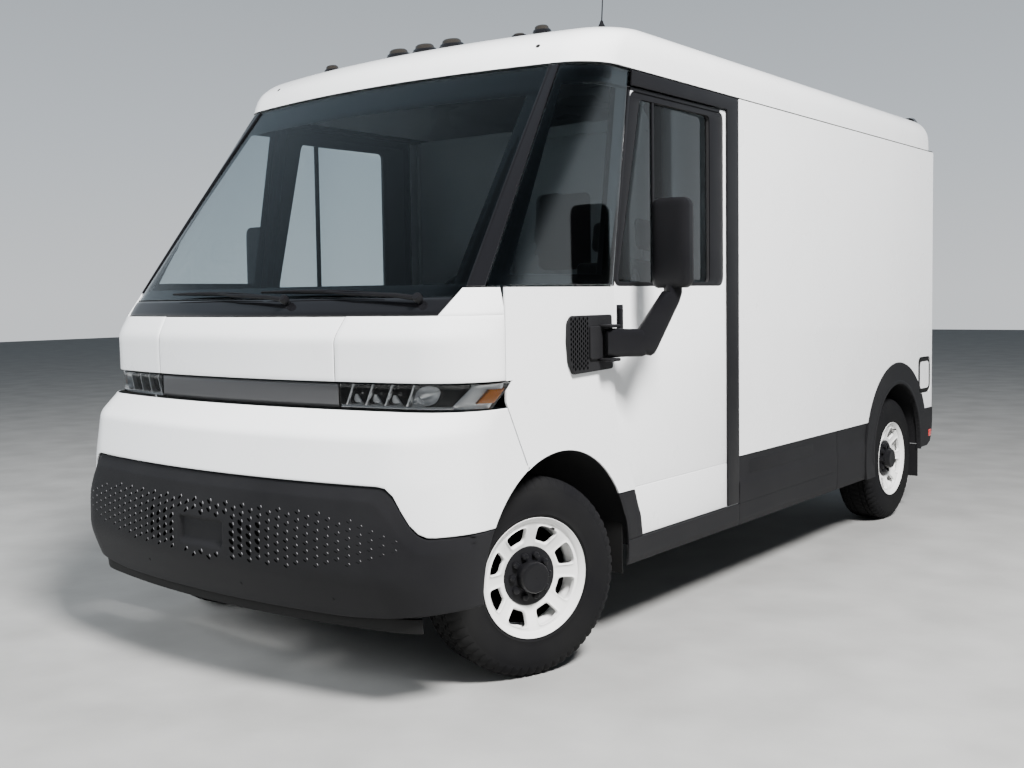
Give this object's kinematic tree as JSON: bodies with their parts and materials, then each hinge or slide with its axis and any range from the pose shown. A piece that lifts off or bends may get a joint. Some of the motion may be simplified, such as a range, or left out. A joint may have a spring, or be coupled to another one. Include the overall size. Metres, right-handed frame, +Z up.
{
  "type": "mail delivery truck",
  "caption": "Walk-in electric step van for mail rounds, with sliding cab doors, a raked windshield, a box cargo body and black lower cladding.",
  "frame": {"origin": "on the ground, under the centre of the overall box", "axes": "+Z up; the truck faces -Y; +X is its left, the driver's side"},
  "size_m": [2.7914, 5.5, 2.949],
  "materials": {
    "white_body": "gloss",
    "white_metal": "gloss",
    "frame_black": "satin",
    "alloy_case": "satin",
    "floor_grey": "satin",
    "liner_white": "matte",
    "textured_black": "textured",
    "gloss_black": "gloss",
    "tinted_glass": "gloss",
    "lamp_clear": "gloss",
    "lamp_red": "gloss",
    "bar_grey": "brushed",
    "cab_trim": "matte",
    "seat_cloth": "woven",
    "tyre_rubber": "matte",
    "wheel_white": "gloss",
    "cast_grey": "cast",
    "mirror_face": "polished",
    "pedal_steel": "satin"
  },
  "bodies": {
    "truck_body": {"chassis_frame": "frame_black", "battery_pack": "alloy_case", "front_subframe": "frame_black", "floor_pan": "floor_grey", "wheelhouses": "textured_black", "cargo_liners": "liner_white", "side_panels": "white_body", "roof_cap": "white_body", "cab_frame": "gloss_black", "rear_frame": "white_metal", "windshield": "tinted_glass", "quarter_glass": "tinted_glass", "cowl_panel": "gloss_black", "upper_fascia": "white_body", "fenders": "white_body", "headlights": "lamp_clear", "grille_bar": "bar_grey", "lower_fascia": "white_body", "front_bumper": "textured_black", "rocker_trims": "textured_black", "rear_arch_flares": "textured_black", "rear_bumper": "textured_black", "tail_lamps": "lamp_red", "roof_lamps": "gloss_black", "antenna": "gloss_black", "dashboard": "cab_trim", "mirror_brackets": "textured_black", "rear_axle": "frame_black", "charge_socket": "textured_black", "seat_base": "frame_black"},
    "left_cab_door": {"left_cab_door": "white_body", "left_door_glass": "tinted_glass"},
    "right_cab_door": {"right_cab_door": "white_body", "right_door_glass": "tinted_glass"},
    "left_rear_door": {"left_rear_door": "white_body"},
    "right_rear_door": {"right_rear_door": "white_body"},
    "hood": {"hood": "white_body"},
    "charge_door": {"charge_door": "white_body"},
    "left_mirror": {"left_mirror": "gloss_black"},
    "right_mirror": {"right_mirror": "gloss_black"},
    "left_mirror_glass": {"left_mirror_glass": "mirror_face"},
    "right_mirror_glass": {"right_mirror_glass": "mirror_face"},
    "left_wiper": {"left_wiper": "gloss_black"},
    "right_wiper": {"right_wiper": "gloss_black"},
    "steering_wheel": {"steering_wheel": "cab_trim"},
    "bulkhead_door": {"bulkhead_door": "liner_white"},
    "left_knuckle": {"left_knuckle": "cast_grey"},
    "right_knuckle": {"right_knuckle": "cast_grey"},
    "front_left_wheel": {"front_left_tyre": "tyre_rubber", "front_left_wheel": "wheel_white"},
    "front_right_wheel": {"front_right_tyre": "tyre_rubber", "front_right_wheel": "wheel_white"},
    "rear_left_wheel": {"rear_left_tyre": "tyre_rubber", "rear_left_wheel": "wheel_white"},
    "rear_right_wheel": {"rear_right_tyre": "tyre_rubber", "rear_right_wheel": "wheel_white"},
    "driver_seat": {"driver_seat": "seat_cloth"},
    "seat_back": {"seat_back": "seat_cloth"},
    "brake_pedal": {"brake_pedal": "pedal_steel"},
    "accelerator_pedal": {"accelerator_pedal": "pedal_steel"}
  },
  "joints": [
    {"name": "front_left_steer", "type": "hinge", "parent": "truck_body", "child": "left_knuckle", "pos_m": [0.89, -1.89, 0.398], "axis": [0, 0, 1], "range_deg": [-12, 52]},
    {"name": "front_right_steer", "type": "hinge", "parent": "truck_body", "child": "right_knuckle", "pos_m": [-0.89, -1.89, 0.398], "axis": [0, 0, 1], "range_deg": [-12, 52]},
    {"name": "steering_wheel_turn", "type": "hinge", "parent": "truck_body", "child": "steering_wheel", "pos_m": [0.48, -1.84, 1.29], "axis": [0, 0.8829, 0.4695], "range_deg": [-156, 676]},
    {"name": "front_left_spin", "type": "hinge", "parent": "left_knuckle", "child": "front_left_wheel", "pos_m": [0.93886, -1.90779, 0.398], "axis": [0.9397, -0.342, 0], "continuous": true},
    {"name": "front_right_spin", "type": "hinge", "parent": "right_knuckle", "child": "front_right_wheel", "pos_m": [-0.93886, -1.87221, 0.398], "axis": [0.9397, -0.342, 0], "continuous": true},
    {"name": "rear_left_spin", "type": "hinge", "parent": "truck_body", "child": "rear_left_wheel", "pos_m": [0.942, 2, 0.398], "axis": [1, 0, 0], "continuous": true},
    {"name": "rear_right_spin", "type": "hinge", "parent": "truck_body", "child": "rear_right_wheel", "pos_m": [-0.942, 2, 0.398], "axis": [1, 0, 0], "continuous": true},
    {"name": "left_door_slide", "type": "slide", "parent": "truck_body", "child": "left_cab_door", "axis": [0, 1, 0], "range_m": [0, 0.925]},
    {"name": "right_door_slide", "type": "slide", "parent": "truck_body", "child": "right_cab_door", "axis": [0, 1, 0], "range_m": [0, 0.925]},
    {"name": "bulkhead_door_slide", "type": "slide", "parent": "truck_body", "child": "bulkhead_door", "axis": [-1, 0, 0], "range_m": [0, 0.64]},
    {"name": "left_rear_door_hinge", "type": "hinge", "parent": "truck_body", "child": "left_rear_door", "pos_m": [0.96, 2.712, 1.5], "axis": [0, 0, -1], "range_deg": [0, 175]},
    {"name": "right_rear_door_hinge", "type": "hinge", "parent": "truck_body", "child": "right_rear_door", "pos_m": [-0.96, 2.712, 1.5], "axis": [0, 0, 1], "range_deg": [0, 175]},
    {"name": "hood_hinge", "type": "hinge", "parent": "truck_body", "child": "hood", "pos_m": [0, -2.478, 1.452], "axis": [-1, 0, 0], "range_deg": [0, 55]},
    {"name": "charge_door_hinge", "type": "hinge", "parent": "truck_body", "child": "charge_door", "pos_m": [1.1065, 2.405, 0.925], "axis": [0, 0, -1], "range_deg": [0, 110]},
    {"name": "left_mirror_fold", "type": "hinge", "parent": "truck_body", "child": "left_mirror", "pos_m": [1.157, -1.56, 1.31], "axis": [0, 0, 1], "range_deg": [-60, 20]},
    {"name": "left_mirror_tilt", "type": "hinge", "parent": "left_mirror", "child": "left_mirror_glass", "pos_m": [1.306, -1.289, 1.718], "axis": [1, 0, 0], "range_deg": [-3, 3]},
    {"name": "right_mirror_fold", "type": "hinge", "parent": "truck_body", "child": "right_mirror", "pos_m": [-1.157, -1.56, 1.31], "axis": [0, 0, -1], "range_deg": [-60, 20]},
    {"name": "right_mirror_tilt", "type": "hinge", "parent": "right_mirror", "child": "right_mirror_glass", "pos_m": [-1.306, -1.289, 1.718], "axis": [1, 0, 0], "range_deg": [-3, 3]},
    {"name": "left_wiper_sweep", "type": "hinge", "parent": "truck_body", "child": "left_wiper", "pos_m": [0.86, -2.38101, 1.49], "axis": [-0.0856, 0.7914, -0.6053], "range_deg": [0, 80]},
    {"name": "right_wiper_sweep", "type": "hinge", "parent": "truck_body", "child": "right_wiper", "pos_m": [0.226, -2.46294, 1.49], "axis": [0.0324, 0.7898, -0.6126], "range_deg": [0, 80]},
    {"name": "seat_slide", "type": "slide", "parent": "truck_body", "child": "driver_seat", "axis": [0, 1, 0], "range_m": [-0.06, 0.03]},
    {"name": "seat_recline", "type": "hinge", "parent": "driver_seat", "child": "seat_back", "pos_m": [0.48, -0.61, 1.065], "axis": [-1, 0, 0], "range_deg": [-15, 6]},
    {"name": "brake_press", "type": "hinge", "parent": "truck_body", "child": "brake_pedal", "pos_m": [0.5, -2.11, 1.01], "axis": [-1, 0, 0], "range_deg": [0, 9], "stiffness_Nm_per_rad": 60, "springref_deg": -11.46},
    {"name": "accelerator_press", "type": "hinge", "parent": "truck_body", "child": "accelerator_pedal", "pos_m": [0.37, -2.11, 1.01], "axis": [-1, 0, 0], "range_deg": [0, 9], "stiffness_Nm_per_rad": 12, "springref_deg": -17.19}
  ],
  "couplings": [
    {"joint": "front_right_steer", "follows": "front_left_steer", "ratio": 1},
    {"joint": "steering_wheel_turn", "follows": "front_left_steer", "ratio": 13},
    {"joint": "right_wiper_sweep", "follows": "left_wiper_sweep", "ratio": 1}
  ]
}
